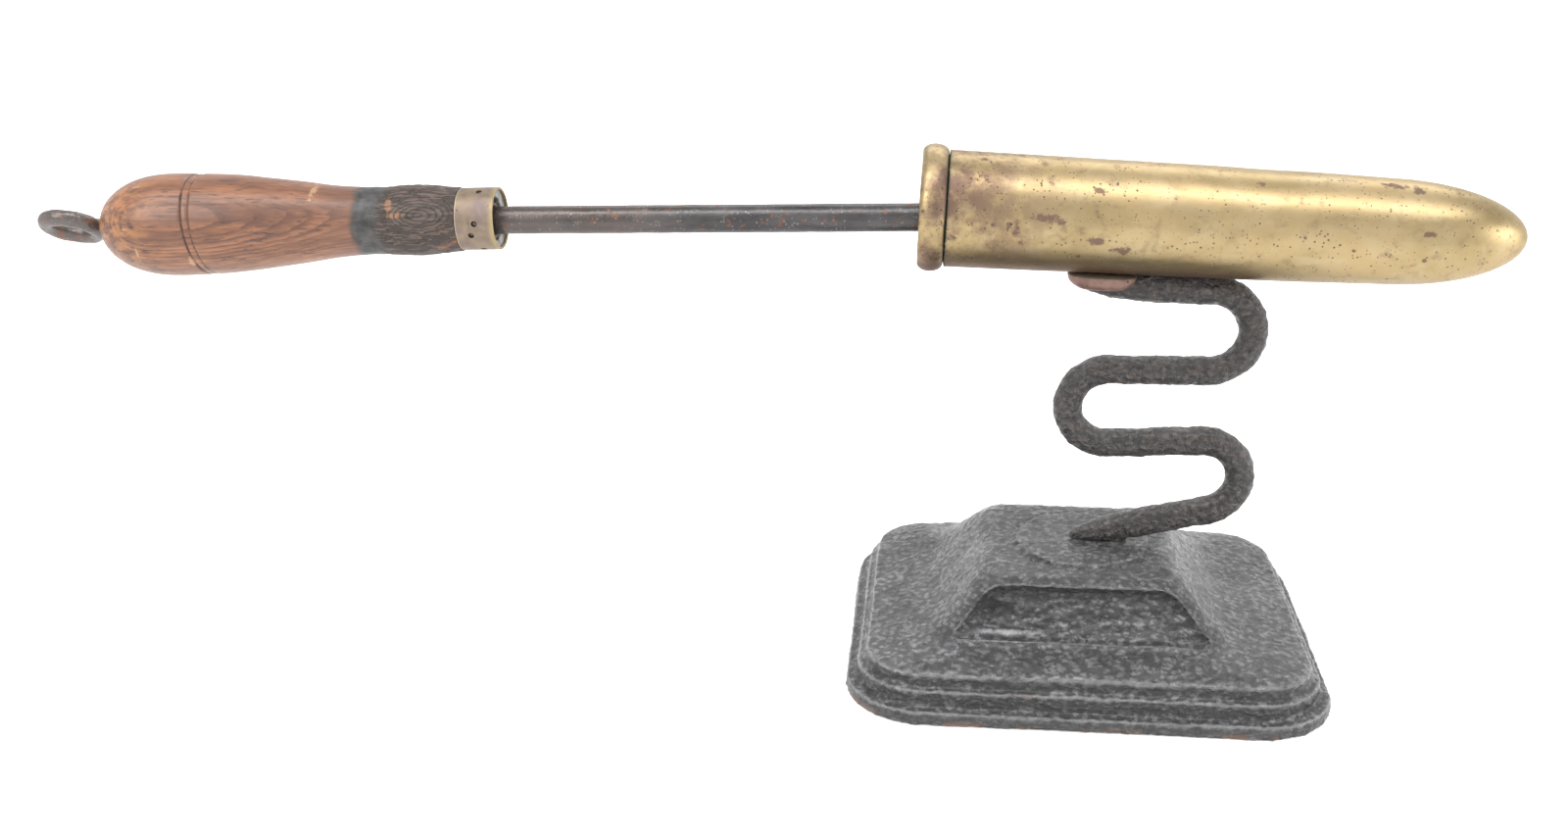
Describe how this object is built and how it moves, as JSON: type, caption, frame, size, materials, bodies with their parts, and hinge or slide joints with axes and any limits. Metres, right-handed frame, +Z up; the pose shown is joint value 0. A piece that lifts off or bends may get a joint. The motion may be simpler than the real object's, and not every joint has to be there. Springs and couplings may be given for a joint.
{
  "type": "goffering iron",
  "caption": "Goffering iron: closed brass barrel on a serpentine iron stem and a stepped iron base, with a loose wooden-handled heater that slides into the barrel.",
  "frame": {"origin": "under the middle of the whole object's box, on the surface it stands on", "axes": "+X from the hanging eye towards the nose of the barrel, +Y across the base, +Z up"},
  "size_m": [0.4225, 0.1162, 0.1487],
  "materials": {
    "japanned_iron": "semi-gloss black lacquer over hammered iron, worn at the edges",
    "aged_brass": "satin, aged, with brown spots",
    "tarnished_brass": "dull and tarnished",
    "copper_brown": "pinkish brown, oxidised",
    "tinned_steel": "dull, tinned",
    "dark_steel": "dark, with light rust",
    "burnt_iron": "fire scale",
    "turned_hardwood": "oiled and handled, charred next to the ferrule"
  },
  "bodies": {
    "stand": {"base_casting": "japanned_iron", "serpentine_stem": "japanned_iron", "stem_washer": "dark_steel", "stem_nut": "dark_steel", "barrel": "aged_brass", "mouth_collar": "aged_brass", "barrel_lug": "copper_brown", "lug_rivet": "dark_steel"},
    "heater": {"heater_slug": "burnt_iron", "slug_pin": "dark_steel", "heater_rod": "dark_steel", "rod_bush": "dark_steel", "ferrule": "tarnished_brass", "ferrule_liner": "tinned_steel", "ferrule_tack_1": "dark_steel", "ferrule_tack_2": "dark_steel", "ferrule_tack_3": "dark_steel", "ferrule_tack_4": "dark_steel", "handle": "turned_hardwood", "hanging_eye": "dark_steel"}
  },
  "joints": [
    {"name": "heater_slide", "type": "slide", "parent": "stand", "child": "heater", "axis": [-0.9993, 0, 0.0384], "range_m": [0, 0.11]}
  ]
}
